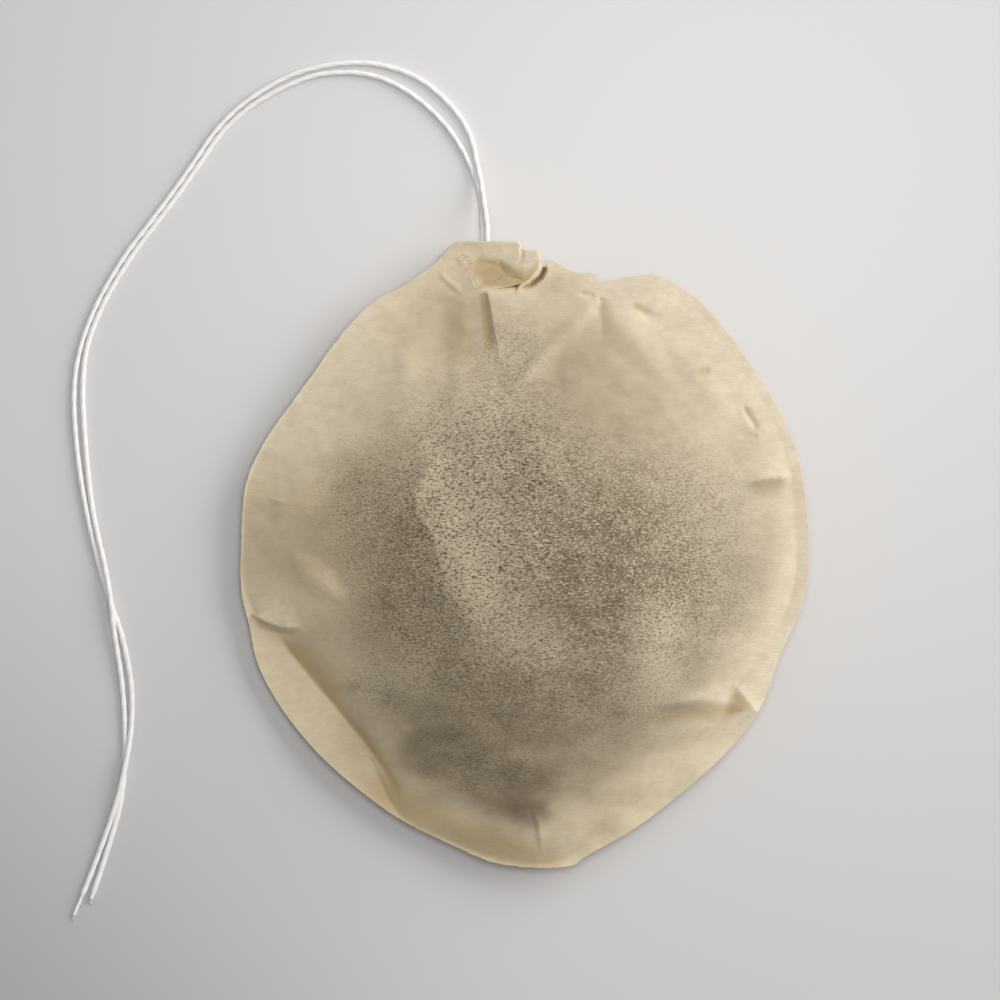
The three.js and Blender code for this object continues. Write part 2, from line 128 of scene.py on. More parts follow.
LEFT_TAIL = [
    (-0.4, -1.6, 4.8), (-0.4, 0, 4.9), (-0.5, 2.2, 4), (-0.7, 5.4, 2.2), (-1.5, 8.8, 0.9),
    (-2.8, 12.3, 0.5), (-4.6, 15.5, 0.5),
    (-6.6, 18.2, 0.5), (-9.3, 20.9, 0.5), (-12.5, 23.3, 0.5), (-16, 25.1, 0.5), (-19.4, 26, 0.5),
    (-22.9, 26.2, 0.5), (-26.7, 25.8, 0.5), (-30.3, 24.6, 0.5), (-34, 22.8, 0.5), (-37.8, 20.4, 0.5),
    (-41.9, 16.6, 0.5), (-45.5, 11.5, 0.5), (-49.1, 6.4, 0.5), (-52.6, 1.8, 0.5), (-56.3, -3.2, 0.5),
    (-60.4, -10.1, 0.5), (-63.2, -17.3, 0.5), (-63.9, -24.5, 0.5), (-63.4, -33.8, 0.5), (-62.3, -43.3, 0.6),
    (-60.3, -52.4, 1.2), (-59.4, -57.6, 1.5), (-58.9, -62.4, 1.1), (-57.7, -70.5, 0.6), (-57.2, -78, 0.5),
    (-57.3, -85.2, 0.5), (-58.3, -91.5, 0.5), (-60.8, -99.8, 0.5), (-62.6, -105.1, 0.5),
]
STRING_CURVE_STEPS = 20
STRING_STEP = 0.3
STRING_SIDES = 18
STRING_PLIES = 3
PLY_GROOVE = 0.12
PLY_ROUNDNESS = 3
TWIST_LENGTH = 2.6
STRING_UNEVEN = 0.05
UNEVEN_LENGTH = 2

# The cut ends: the length of the worn stretch where a ply is missing, its width as a share, and its fibres,
# each with how far before the end it leaves the string, its length and how far it strays to the left.
WORN_ENDS = {
    "string_right_end": (
        3.3, 0.62,
        [(3.4, 1.6, 0.6), (1.1, 1.7, -0.4), (0.7, 1.5, 0.25), (0.4, 1, -0.15)]),
    "string_left_end": (
        0.9, 0.7,
        [(1.2, 1.8, -0.3), (0.7, 1.4, 0.3), (0.4, 1, 0)]),
}
WORN_STEP = 0.7
FIBRE_DIAMETER = 0.14
FIBRE_SIDES = 5
FIBRE_STOPS = 6

# The rim, anticlockwise from the right, in shares, with the width of the flat sealed flange in millimetres.
RIM_POINTS = [
    (0.998, -0.021, 2), (0.977, 0.233, 2), (0.918, 0.408, 1.5), (0.819, 0.567, 1.5), (0.693, 0.725, 1.5),
    (0.581, 0.827, 1.5), (0.461, 0.884, 2), (0.391, 0.881, 3), (0.268, 0.865, 4), (0.244, 0.89, 5),
    (0.177, 0.894, 6), (0.086, 0.935, 8), (0.072, 0.91, 6.7), (0.045, 0.935, 8), (-0.012, 0.965, 10),
    (-0.121, 0.985, 10.5), (-0.23, 0.975, 10), (-0.286, 0.945, 8), (-0.339, 0.906, 6),
    (-0.437, 0.846, 2), (-0.535, 0.798, 1), (-0.647, 0.694, 0.6), (-0.788, 0.519, 0.5),
    (-0.886, 0.398, 0.4), (-0.956, 0.287, 0.4), (-0.988, 0.186, 0.4), (-0.998, 0.027, 0.4),
    (-0.998, -0.116, 0.4), (-0.97, -0.227, 2), (-0.939, -0.354, 5.5), (-0.858, -0.49, 7),
    (-0.739, -0.624, 7), (-0.605, -0.735, 4.8), (-0.437, -0.846, 0.3), (-0.261, -0.925, 0.5),
    (-0.121, -0.979, 0.5), (0.019, -0.998, 0.5), (0.16, -0.992, 1), (0.223, -0.957, 1.5), (0.405, -0.862, 3),
    (0.616, -0.71, 4), (0.763, -0.576, 4), (0.844, -0.459, 5), (0.896, -0.322, 3), (0.967, -0.179, 2),
]

# The pouch's form: a dome over the fill, a waving rim and a gathered neck that stands higher.
PUFF_HEIGHT = 13.9
RIM_HEIGHT = 5
RIM_WAVE = 0.4
RIM_WAVES = [(1, 1.2, 3.5), (3, 0.7, 1), (7, 0, 0.6)]
PAPER = 0.14
NECK_RISE = 2
NECK_AT = np.array((-0.11, 0.83))
NECK_SPREAD = np.array((0.2, 0.14))
NECK_SAG = 0.6
CROWN = np.array((0.03, -0.1))
DOME = {"right": 0.9, "left": -0.95, "back": 0.86, "front": -0.86}
DOME_MEETS_SEAL = 0.5
LEAN_TURN = math.radians(80)
LEAN_STEEP, LEAN_GENTLE, LEAN_FROM, LEAN_TO = 0.18, 0.82, -0.4, 0.9
SEAL_STOPS = 720
SEAL_SMOOTHING = 15
WAVE_START = 0.5
BASE_LIFT_START = 0.6
BASE_FOLD_START = 0.85
CREASE_END_WIDTH = 0.25

# The mesh: steps between two rim points, rings of the upper and lower paper, and levels of the edge between.
RIM_STEPS = 11
UPPER_RINGS = 76
FLANGE_RINGS = 10
LOWER_RINGS = 30
UPPER, LOWER = 1, -1
EDGE_LEVELS = (0.5, 0, -0.5)
EDGE_BEVEL = 0.06

# Soft folds of the upper paper: a path in shares, the rise of its line in millimetres (a valley is below 0),
# how far its slopes reach to the left and right of the path, and the shares of it that fade in and out.
CREASES = {
    "plateau edge": (
        [(-0.219, 0.344), (-0.332, 0.281), (-0.388, 0.195), (-0.379, 0.125), (-0.332, 0.075),
         (-0.29, -0.06), (-0.212, -0.186), (-0.1, -0.275), (0.125, -0.363)],
        0.4, 8, 6, (0.3, 0.4)),
    "hollow left of the plateau": (
        [(-0.454, -0.052), (-0.296, -0.243), (-0.156, -0.322)],
        -0.3, 5, 5, (0.4, 0.4)),
    "lower right ridge": (
        [(0.212, -0.767), (0.44, -0.729), (0.616, -0.671), (0.756, -0.576)],
        0.9, 5, 5, (0.35, 0.3)),
    "left shoulder crease": ([(-0.981, 0.179), (-0.823, 0.167), (-0.612, 0.265)], 0.5, 4, 4, (0.3, 0.5)),
    "left streak": ([(-0.84, 0.011), (-0.753, -0.068), (-0.63, -0.154)], 0.65, 3.8, 3, (0.4, 0.4)),
    "hollow below the left streak": (
        [(-0.921, -0.005), (-0.823, -0.116), (-0.753, -0.163)],
        -0.15, 4, 4, (0.4, 0.4)),
    "right ridge from the neck": ([(0.272, 0.805), (0.412, 0.652), (0.553, 0.487)], 0.55, 4, 4, (0.25, 0.5)),
    "right of the middle": ([(0.405, -0.465), (0.423, -0.306), (0.581, -0.163)], 0.5, 5, 5, (0.35, 0.35)),
    "left shoulder wrinkle": ([(-0.296, 0.805), (-0.395, 0.646), (-0.444, 0.487)], 0.35, 4, 4, (0.4, 0.5)),
    "neck wrinkle": ([(-0.205, 0.805), (-0.226, 0.662), (-0.254, 0.519)], 0.25, 3, 3, (0.3, 0.6)),
    "upper right wrinkle": ([(0.405, 0.741), (0.581, 0.614), (0.739, 0.424)], 0.3, 4, 4, (0.4, 0.5)),
    "diagonal ridge from the neck": (
        [(0.265, 0.814), (0.125, 0.678), (0.002, 0.557), (-0.093, 0.462)],
        0.42, 2, 2.2, (0.3, 0.3)),
    "shaded valley band": ([(0.423, -0.503), (0.581, -0.49), (0.739, -0.487)], -0.4, 1.5, 3.2, (0.4, 0.3)),
    "ridge inside the flange": (
        [(-0.767, -0.275), (-0.661, -0.402), (-0.549, -0.516), (-0.465, -0.617), (-0.402, -0.725)],
        0.6, 6, 4, (0.3, 0.3)),
}

# Sharper creases in the same terms, and those on the hem alone.
FINE_CREASES = {
    "flange crease": (
        [(-0.949, -0.205), (-0.868, -0.262), (-0.788, -0.351), (-0.647, -0.503),
         (-0.563, -0.595), (-0.493, -0.687), (-0.44, -0.783)],
        -0.4, 3, 0.9, (0.15, 0.3)),
    "left pinch line": (
        [(-0.956, -0.202), (-0.911, -0.233), (-0.865, -0.256), (-0.777, -0.249)],
        -0.75, 0.6, 1.1, (0.15, 0.25)),
    "left pinch ridge": (
        [(-0.965, -0.19), (-0.921, -0.214), (-0.858, -0.233), (-0.777, -0.237)],
        1.1, 4.5, 0.6, (0.15, 0.3)),
    "plateau corner": (
        [(-0.219, 0.344), (-0.332, 0.281), (-0.388, 0.195), (-0.379, 0.125), (-0.332, 0.075), (-0.3, -0.01)],
        0.18, 1.6, 1, (0.4, 0.4)),
    "left shoulder tick": ([(-0.718, 0.525), (-0.69, 0.538), (-0.654, 0.548)], -0.15, 0.6, 0.5, (0.3, 0.3)),
    "left shoulder line": ([(-0.907, 0.176), (-0.826, 0.16)], 0.2, 0.8, 0.8, (0.3, 0.3)),
    "small panel crease": ([(0.181, 0.83), (0.258, 0.814)], -0.25, 0.7, 0.7, (0.3, 0.3)),
    "small bright fold": ([(0.261, 0.811), (0.205, 0.792), (0.153, 0.767)], 0.22, 2.4, 0.8, (0.05, 0.6)),
    "shoulder dent": (
        [(0.37, 0.798), (0.409, 0.773), (0.44, 0.754), (0.5, 0.751)],
        -0.25, 1.8, 1.6, (0.4, 0.5)),
    "edge tick": ([(0.732, 0.373), (0.819, 0.37)], -0.35, 0.8, 0.5, (0.5, 0.1)),
    "short crease line": (
        [(-0.612, -0.424), (-0.577, -0.433), (-0.489, -0.446), (-0.409, -0.459)],
        -0.3, 0.8, 0.7, (0.3, 0.4)),
    "bottom pinch": ([(0.023, -0.802), (0.047, -0.852), (0.058, -0.941)], 0.4, 2.6, 0.9, (0.5, 0.3)),
    "bed of the hem": ([(-0.19, 0.897), (-0.1, 0.892), (-0.005, 0.872)], -3.6, 2.7, 2.6, (0.1, 0.1)),
    "shade beside the hem": ([(-0.318, 0.881), (-0.275, 0.849), (-0.223, 0.811)], -0.08, 1, 1.6, (0.3, 0.3)),
    "gap beside the hem": (
        [(-0.019, 0.837), (0.019, 0.852), (0.054, 0.878), (0.075, 0.916)],
        -1.8, 0.55, 0.8, (0.4, 0.1)),
    "front pleat": (
        [(-0.135, 0.833), (-0.114, 0.757), (-0.096, 0.662), (-0.086, 0.535)],
        0.22, 8, 1.5, (0.02, 0.7)),
    "valley beside the pleat": (
        [(-0.142, 0.833), (-0.132, 0.741), (-0.121, 0.656)],
        -0.08, 0.9, 1.5, (0.05, 0.1)),
    "pleat edge": (
        [(-0.135, 0.833), (-0.125, 0.805), (-0.114, 0.757), (-0.107, 0.71),
         (-0.096, 0.662), (-0.089, 0.621), (-0.086, 0.576)],
        0.12, 3, 0.5, (0.02, 0.7)),
    "ridge of the hem": ([(-0.307, 0.894), (-0.268, 0.862), (-0.216, 0.824)], 0.2, 1.5, 0.6, (0.2, 0.3)),
    "right facet edge": ([(0.819, -0.51), (0.781, -0.465), (0.735, -0.414)], 0.5, 3.4, 3.2, (0.1, 0.35)),
    "right facet ridge": (
        [(0.489, -0.481), (0.605, -0.459), (0.679, -0.433), (0.739, -0.408)],
        0.18, 2.6, 2.4, (0.5, 0.3)),
    "right edge crease": ([(0.76, 0.475), (0.788, 0.43), (0.819, 0.392)], -0.3, 1.5, 0.9, (0.3, 0.2)),
    "right edge fold": ([(0.756, 0.227), (0.844, 0.237), (0.939, 0.246)], 0.4, 3, 3.5, (0.35, 0.2)),
    "right shoulder valley": ([(0.265, 0.814), (0.258, 0.773), (0.258, 0.735)], -0.25, 3, 2.5, (0.1, 0.5)),
    "right shoulder dent": ([(0.598, 0.56), (0.63, 0.57), (0.661, 0.589)], -0.3, 1.3, 0.6, (0.3, 0.4)),
}
HEM_CREASES = {
    "step of the collar": ([(-0.012, 0.986), (-0.009, 0.944), (-0.026, 0.913)], -0.3, 0.6, 0.6, (0.2, 0.4)),
    "left facet streak": ([(-0.237, 0.944), (-0.195, 0.903)], 0.1, 0.9, 0.9, (0.3, 0.4)),
}
CREASE_CURVE = 2
HEM_BED = "bed of the hem"
SHARP_REACH = 1.3
FINE_AREA_AT = np.array((-0.06, 0.8))
FINE_AREA_REACH = np.array((0.16, 0.15))

# Painted warm shade in creases, hollows, gaps and the pocket of the mouth, some where plies lie over each
# other, in the same terms with a strength in place of the rise.
WARM_SHADE_FOLDS = {
    "pocket of the mouth": ([(-0.205, 0.922), (-0.1, 0.895), (-0.005, 0.868)], 1.1, 2.6, 3.2, (0.2, 0.05)),
    "lower lip of the hem": (
        [(-0.17, 0.846), (-0.086, 0.853), (0.002, 0.865), (0.04, 0.906), (0.054, 0.938)],
        0.7, 1.8, 0.4, (0.1, 0.2)),
    "back of the pocket": (
        [(-0.163, 0.932), (-0.086, 0.932), (-0.03, 0.9), (0.005, 0.865)],
        0.2, 0.3, 2.5, (0.3, 0.05)),
    "gap beside the hem": (
        [(-0.019, 0.837), (0.019, 0.852), (0.054, 0.878), (0.075, 0.916)],
        1.2, 0.7, 0.7, (0.2, 0.1)),
    "strip beside the pleat": (
        [(-0.142, 0.83), (-0.135, 0.773), (-0.128, 0.71), (-0.121, 0.646)],
        1.1, 1.2, 1.3, (0.02, 0.02)),
    "right shoulder valley": ([(0.272, 0.811), (0.279, 0.741), (0.265, 0.646)], 0.4, 2.6, 0.6, (0.1, 0.5)),
    "right facet hollow": ([(0.732, -0.411), (0.746, -0.465), (0.756, -0.506)], 0.8, 2.6, 2.6, (0.6, 0.05)),
    "right edge crease": ([(0.767, 0.475), (0.791, 0.433), (0.819, 0.392)], 0.6, 1.3, 0.3, (0.2, 0.1)),
    "right shoulder dent": ([(0.598, 0.563), (0.661, 0.589)], 0.4, 1.2, 0.6, (0.2, 0.3)),
    "shoulder dent": ([(0.37, 0.795), (0.409, 0.776), (0.447, 0.76)], 0.6, 1.2, 1, (0.3, 0.3)),
    "inside the flange": (
        [(-0.868, -0.262), (-0.788, -0.351), (-0.647, -0.503), (-0.605, -0.548)],
        0.65, 6, 0.4, (0.15, 0.3)),
    "left pinch": (
        [(-0.956, -0.198), (-0.893, -0.233), (-0.84, -0.249), (-0.774, -0.246)],
        0.4, 0.8, 1.2, (0.15, 0.4)),
    "bottom rim": (
        [(-0.63, -0.675), (-0.535, -0.744), (-0.437, -0.798), (-0.261, -0.878),
         (-0.086, -0.941), (0.072, -0.973), (0.177, -0.973)],
        0.6, 5, 4, (0.15, 0.1)),
    "left hollow": ([(-0.921, -0.005), (-0.823, -0.116), (-0.753, -0.163)], 0.2, 4, 4, (0.4, 0.4)),
    "neck, left": ([(-0.275, 0.837), (-0.233, 0.71), (-0.219, 0.551)], 0.4, 4, 5, (0.3, 0.4)),
    # Painted warm shade along the valley below the right facet.
    "shaded valley band": ([(0.405, -0.51), (0.581, -0.495), (0.76, -0.495)], 0.7, 1.4, 2.4, (0.3, 0.1)),
    "right edge fold": ([(0.763, 0.224), (0.844, 0.233), (0.932, 0.243)], 0.7, 0.3, 3, (0.3, 0.2)),
    "end of the flange": (
        [(-0.665, -0.484), (-0.563, -0.595), (-0.493, -0.687), (-0.44, -0.783)],
        0.65, 2, 0.4, (0.2, 0.1)),
}
# Broad patches of painted warm shade, with gaps below 0.
WARM_SHADE_PATCHES = [
    ((-0.507, -0.529), (0.81, 0.6), 0.42, 2), ((0.405, -0.783), (0.42, 0.19), 0.2, 2),
    ((-0.156, 0.963), (0.18, 0.08), 0.22, 2), ((-0.823, 0.06), (0.27, 0.23), 0.42, 2),
    ((-0.296, 0.741), (0.21, 0.16), 0.4, 2), ((0.265, 0.567), (0.25, 0.19), 0.28, 2),
    ((-0.472, 0.043), (0.21, 0.38), 0.4, 2), ((0.111, 0.856), (0.08, 0.05), 0.3, 2),
    ((-0.88, -0.17), (0.11, 0.08), -0.7, 2), ((-0.64, -0.42), (0.2, 0.14), -0.3, 2),
]

# Crumpling of the paper: the spacing of the crumples and their height.
CRUMPLES = [(18, 0.5), (9, 0.3), (4.5, 0.12)]
CRUMPLE_ROUND = 0.04
HEM_CRUMPLES = [(2.5, 0.12), (1.2, 0.04)]

# How the grounds show through: "near" darkens the paper softly where the grounds lie close beneath it, and in
# some patches as painted shade over the dome; "touch" shows single grains.
# Each patch has its place and reach in shares, its strength (a gap is below 0), and how flat its middle is.
GROUNDS_AND_SHADE = {
    "near": [
        ((0.047, 0.106), (0.81, 0.63), 0.64, 5), ((0.002, -0.275), (0.62, 0.55), 0.62, 8),
        ((0.282, 0.017), (0.28, 0.33), 0.42, 2), ((-0.402, -0.148), (0.13, 0.16), 0.2, 2),
        ((-0.296, -0.63), (0.15, 0.09), 0.65, 6), ((-0.058, -0.744), (0.19, 0.09), 0.7, 6),
        ((0.012, -0.827), (0.08, 0.05), 0.7, 4), ((-0.875, 0.043), (0.21, 0.18), 0.18, 2),
        ((-0.086, -0.916), (0.3, 0.08), 0.18, 2), ((-0.332, 0.748), (0.21, 0.11), 0.2, 2),
        ((0.037, 0.741), (0.19, 0.16), 0.2, 2), ((-0.117, 0.884), (0.1, 0.041), 0.24, 3),
        ((0.633, -0.163), (0.21, 0.17), 0.3, 3), ((0.774, -0.068), (0.09, 0.11), 0.3, 2),
        ((0.844, 0.208), (0.08, 0.04), 0.22, 3), ((0.265, -0.878), (0.11, 0.05), 0.26, 2),
        ((-0.016, -0.544), (0.25, 0.1), 0.3, 2), ((0.518, -0.503), (0.18, 0.04), 0.3, 3),
        ((-0.289, -0.249), (0.16, 0.13), 0.52, 2), ((0.111, 0.856), (0.08, 0.04), 0.18, 2),
        ((0.019, 0.44), (0.14, 0.11), 0.18, 2), ((-0.163, 0.646), (0.13, 0.09), 0.22, 2),
        ((-0.156, -0.497), (0.21, 0.19), 0.25, 2), ((0.265, -0.671), (0.21, 0.06), 0.22, 3),
        ((-0.598, -0.421), (0.03, 0.02), 0.45, 3), ((-0.454, -0.456), (0.05, 0.02), 0.4, 3),
        ((0.609, -0.376), (0.09, 0.06), 0.34, 3), ((0.668, -0.576), (0.12, 0.06), 0.2, 2),
        ((0.212, -0.148), (0.08, 0.13), 0.24, 2), ((0.335, -0.433), (0.08, 0.16), 0.25, 2),
        ((0.861, 0.043), (0.05, 0.1), 0.22, 2), ((-0.525, -0.148), (0.09, 0.08), 0.2, 2),
        ((-0.57, 0.217), (0.1, 0.13), 0.15, 3), ((-0.191, -0.005), (0.18, 0.26), -0.45, 2),
        ((-0.156, -0.116), (0.12, 0.11), -0.2, 2), ((-0.068, -0.259), (0.14, 0.11), -0.3, 2),
        ((0.44, -0.376), (0.11, 0.12), -0.4, 2), ((-0.507, -0.344), (0.16, 0.12), -0.5, 2),
        ((-0.711, -0.141), (0.15, 0.11), -0.7, 2), ((-0.63, 0.376), (0.11, 0.08), -0.4, 2),
        ((0.658, 0.36), (0.11, 0.13), -0.3, 2), ((-0.311, 0.202), (0.09, 0.15), -0.35, 2),
        ((-0.893, -0.163), (0.09, 0.08), -0.8, 2), ((-0.507, -0.576), (0.06, 0.08), -0.5, 2),
        ((-0.419, 0.487), (0.11, 0.08), -0.25, 2), ((-0.63, -0.29), (0.09, 0.07), -0.4, 2),
        ((-0.42, -0.386), (0.08, 0.07), -0.4, 2), ((-0.735, -0.1), (0.09, 0.07), -0.4, 2),
        ((-0.314, -0.22), (0.09, 0.1), 0.3, 2), ((0.107, -0.29), (0.08, 0.07), -0.3, 2),
        ((-0.6, -0.62), (0.1, 0.09), 0.2, 2), ((0.3, -0.862), (0.06, 0.05), 0.2, 2),
        ((0.21, -0.957), (0.05, 0.05), 0.2, 2), ((0.47, -0.24), (0.1, 0.1), -0.22, 2),
        ((0.37, -0.767), (0.08, 0.05), -0.35, 2), ((0.54, -0.62), (0.09, 0.08), 0.16, 2),
        ((-0.314, -0.767), (0.07, 0.05), 0.32, 2), ((0.212, -0.767), (0.07, 0.05), 0.24, 2),
        ((-0.1, -0.862), (0.06, 0.05), 0.24, 2), ((-0.63, -0.05), (0.08, 0.09), 0.24, 2),
        ((-0.37, -0.29), (0.08, 0.06), 0.24, 2), ((-0.47, -0.481), (0.08, 0.06), 0.22, 2),
        ((0.318, -0.29), (0.06, 0.06), 0.24, 2), ((-0.42, 0.186), (0.06, 0.08), -0.28, 2),
        ((0.16, 0.65), (0.1, 0.07), 0.14, 2), ((0.739, -0.195), (0.07, 0.06), 0.16, 2),
        ((0.56, 0.735), (0.09, 0.06), 0.15, 2), ((0.64, 0.63), (0.07, 0.08), 0.14, 2),
        ((0.77, 0.35), (0.08, 0.06), 0.16, 2), ((0.32, 0.19), (0.14, 0.06), 0.2, 2),
        ((0.74, 0.09), (0.12, 0.05), 0.15, 2), ((0.739, -0.4), (0.05, 0.05), 0.14, 2),
        ((-0.314, 0.29), (0.06, 0.07), -0.32, 2), ((-0.57, 0.4), (0.12, 0.08), -0.25, 2),
        ((-0.45, 0.6), (0.12, 0.1), -0.3, 2), ((-0.1, -0.58), (0.05, 0.05), 0.2, 2),
        ((-0.16, 0.46), (0.13, 0.06), -0.2, 2), ((0.49, -0.2), (0.1, 0.1), -0.12, 2),
    ],
    "touch": [
        ((0.047, 0.059), (0.8, 0.6), 0.6, 5), ((0.002, -0.275), (0.62, 0.54), 0.28, 8),
        ((-0.121, 0.154), (0.28, 0.25), 1, 3), ((0.405, 0.027), (0.3, 0.21), 0.22, 3),
        ((-0.086, 0.424), (0.25, 0.11), 0.12, 3), ((-0.033, 0.662), (0.12, 0.14), 0.4, 2),
        ((-0.212, 0.932), (0.07, 0.04), 0.42, 2), ((0.633, -0.163), (0.21, 0.17), 0.2, 3),
        ((-0.191, -0.687), (0.25, 0.09), 0.25, 4), ((0.44, 0.567), (0.35, 0.24), -0.9, 3),
        ((-0.591, 0.17), (0.11, 0.14), 0.25, 3), ((-0.525, -0.433), (0.12, 0.08), 0.3, 3),
    ],
}

# Bands of the nearer grounds with a sharp side, in the creases' terms with a strength in place of the rise.
NEAR_BANDS = {
    "left of the plateau": (
        [(-0.219, 0.344), (-0.332, 0.281), (-0.388, 0.195), (-0.379, 0.125), (-0.332, 0.075),
         (-0.29, -0.06), (-0.212, -0.186), (-0.121, -0.262)],
        0.22, 0.6, 7, (0.3, 0.6)),
    "diagonal ridge from the neck": (
        [(0.177, 0.735), (0.125, 0.678), (0.002, 0.557), (-0.086, 0.471)],
        -0.15, 1.6, 1.6, (0.3, 0.3)),
}

# The gathered hem round the pocket of the mouth, clockwise from the back left. Each station has the place of
# its outer edge, how far that edge and its foot are above the pouch, the place of the pocket's edge, and how
# far that edge and the pocket's foot are above the pouch.
HEM_STATIONS = [
    ((-0.233, 0.992), 0.7, -1.5, (-0.174, 0.938), 0.1, -0.05),
    ((-0.139, 0.994), 1.3, -1.5, (-0.142, 0.94), 0.15, -0.1),
    ((-0.019, 0.992), 1.3, -1.5, (-0.089, 0.937), 0.15, -0.1),
    ((-0.002, 0.965), 1.2, -1.5, (-0.068, 0.924), 0.15, -0.12),
    ((0.051, 0.963), 1.2, -1.5, (-0.051, 0.913), 0.15, -0.15),
    ((0.058, 0.938), 1, -1.5, (-0.033, 0.898), 0.15, -0.15),
    ((0.054, 0.91), 0.9, -1.5, (-0.019, 0.884), 0.15, -0.15),
    ((0.033, 0.884), 0.65, -1.2, (-0.002, 0.868), 0.12, -0.15),
    ((-0.009, 0.857), 0.2, -1, (-0.026, 0.862), -0.08, -0.25),
    ((-0.075, 0.843), 0.18, -0.8, (-0.079, 0.856), -0.2, -0.3),
    ((-0.149, 0.832), 0.14, -0.6, (-0.128, 0.849), -0.15, -0.3),
    ((-0.216, 0.814), -0.15, -0.7, (-0.163, 0.852), 0, -0.18),
    ((-0.282, 0.852), -0.15, -0.8, (-0.181, 0.871), 0.06, -0.1),
    ((-0.321, 0.894), -0.15, -0.8, (-0.191, 0.897), 0.1, -0.08),
    ((-0.304, 0.941), 0, -0.8, (-0.188, 0.919), 0.1, -0.05),
    ((-0.268, 0.973), 0.4, -1, (-0.184, 0.932), 0.1, -0.05),
]
POCKET_FLOOR = (-0.075, 0.882, -0.38)
POCKET_STEP = 1.3
LIP_UNDERCUT = 0.3
HEM_STEPS = 14
HEM_ROWS = (10, 16, 8, 8)
HEM_SMOOTHING_ROUNDS = 2
HEM_SMOOTHING_SHARE = 0.5


# Curves and small sums.


def ease(start, end, value):
    share = np.clip((value - start) / (end - start), 0, 1)
    return share * share * (3 - 2 * share)


def blend(first, second, share):
    return first + (second - first) * share


def smooth_curve(points, steps, closed=False):
    """Points of a smooth curve through the given ones, with some steps from each to the next."""
    points = np.asarray(points, float)
    if closed:
        padded = np.vstack([points[-1:], points, points[:2]])
    else:
        padded = np.vstack([2 * points[:1] - points[1:2], points, 2 * points[-1:] - points[-2:-1]])
    before, start, end, after = (padded[k:len(padded) - 3 + k, None] for k in range(4))
    share = (np.arange(steps) / steps)[None, :, None]
    curve = start + share / 2 * (
        end - before
        + share * (2 * before - 5 * start + 4 * end - after)
        + share ** 2 * (3 * start - before - 3 * end + after)
    )
    curve = curve.reshape(-1, points.shape[1])
    return curve if closed else np.vstack([curve, points[-1:]])


def even_steps(curve, step):
    """The same curve with points an even step apart."""
    run = np.concatenate([[0], np.cumsum(np.linalg.norm(np.diff(curve, axis=0), axis=1))])
    stops = np.linspace(0, run[-1], round(run[-1] / step) + 1)
    return np.column_stack([np.interp(stops, run, axis) for axis in curve.T])


# Camera, floor and light.


def add_camera():
    rim_level = RIM_HEIGHT * MM
    bpy.ops.object.camera_add(location=(*PICTURE_MIDDLE, rim_level + CAMERA_HEIGHT), rotation=(0, 0, 0))
    camera = bpy.context.object
    camera.name = "camera"
    camera.data.sensor_width = SENSOR_WIDTH
    camera.data.lens = SENSOR_WIDTH * CAMERA_HEIGHT / PICTURE_WIDTH
    camera.data.clip_start = CAMERA_NEAR
    bpy.context.scene.camera = camera


def add_area_light(name, place, aim, size, power):
    turn = (Vector(aim) - Vector(place)).to_track_quat("-Z", "Y").to_euler()
    bpy.ops.object.light_add(type="AREA", location=place, rotation=turn)
    light = bpy.context.object
    light.name = name
    light.data.size = size
    light.data.energy = power
    light.data.color = LIGHT_COLOUR
    light.visible_camera = False


def light_the_table():
    add_area_light("window light", **WINDOW)
    add_area_light("lamp", **LAMP)
    world = bpy.data.worlds.new("soft room light")
    world.use_nodes = True
    background = world.node_tree.nodes["Background"]
    background.inputs["Color"].default_value = ROOM_COLOUR
    background.inputs["Strength"].default_value = ROOM_STRENGTH
    bpy.context.scene.world = world
    bpy.context.scene.view_settings.view_transform = "Standard"


# Materials.


def add_node(tree, kind, inputs=None, **settings):
    """A node with its settings, and with its inputs set to values or linked to other nodes' outputs."""
    made = tree.nodes.new(kind)
    for name, value in settings.items():
        setattr(made, name, value)
    for socket, value in (inputs or {}).items():
        if isinstance(value, bpy.types.NodeSocket):
            tree.links.new(value, made.inputs[socket])
        else:
            made.inputs[socket].default_value = value
    return made


def new_material(name, roughness, specular, sheen=0.0):
    material = bpy.data.materials.new(name)
    material.use_nodes = True
    shader = material.node_tree.nodes["Principled BSDF"]
    shader.inputs["Roughness"].default_value = roughness
    shader.inputs["Specular IOR Level"].default_value = specular
    shader.inputs["Sheen Weight"].default_value = sheen
    return material, material.node_tree, shader


def object_place(tree):
    return add_node(tree, "ShaderNodeTexCoord").outputs["Object"]


def grain_noise(tree, name, detail, rough):
    """Noise whose grains are as far apart as the named grain says."""
    scale = tuple(1 / spacing for spacing in GRAIN[name])
    placed = add_node(tree, "ShaderNodeMapping", {"Vector": object_place(tree), "Scale": scale})
    inputs = {"Vector": placed.outputs[0], "Scale": 1, "Detail": detail, "Roughness": rough}
    return add_node(tree, "ShaderNodeTexNoise", inputs).outputs[0]


def ramp(tree, value, start, end, low=0.0, high=1.0):
    inputs = {"Value": value, "From Min": start, "From Max": end, "To Min": low, "To Max": high}
    return add_node(tree, "ShaderNodeMapRange", inputs, interpolation_type="SMOOTHSTEP").outputs[0]


def product(tree, first, second):
    return add_node(tree, "ShaderNodeMath", {0: first, 1: second}, operation="MULTIPLY").outputs[0]


def paper_mark(tree, name):
    return add_node(tree, "ShaderNodeAttribute", attribute_name=name).outputs["Fac"]


def mixed(tree, share, first, second):
    """Two colours mixed by a share."""
    inputs = dict(zip(MIX_INPUTS, (share, first, second)))
    made = add_node(tree, "ShaderNodeMix", inputs, data_type="RGBA")
    return made.outputs[MIX_OUTPUT]


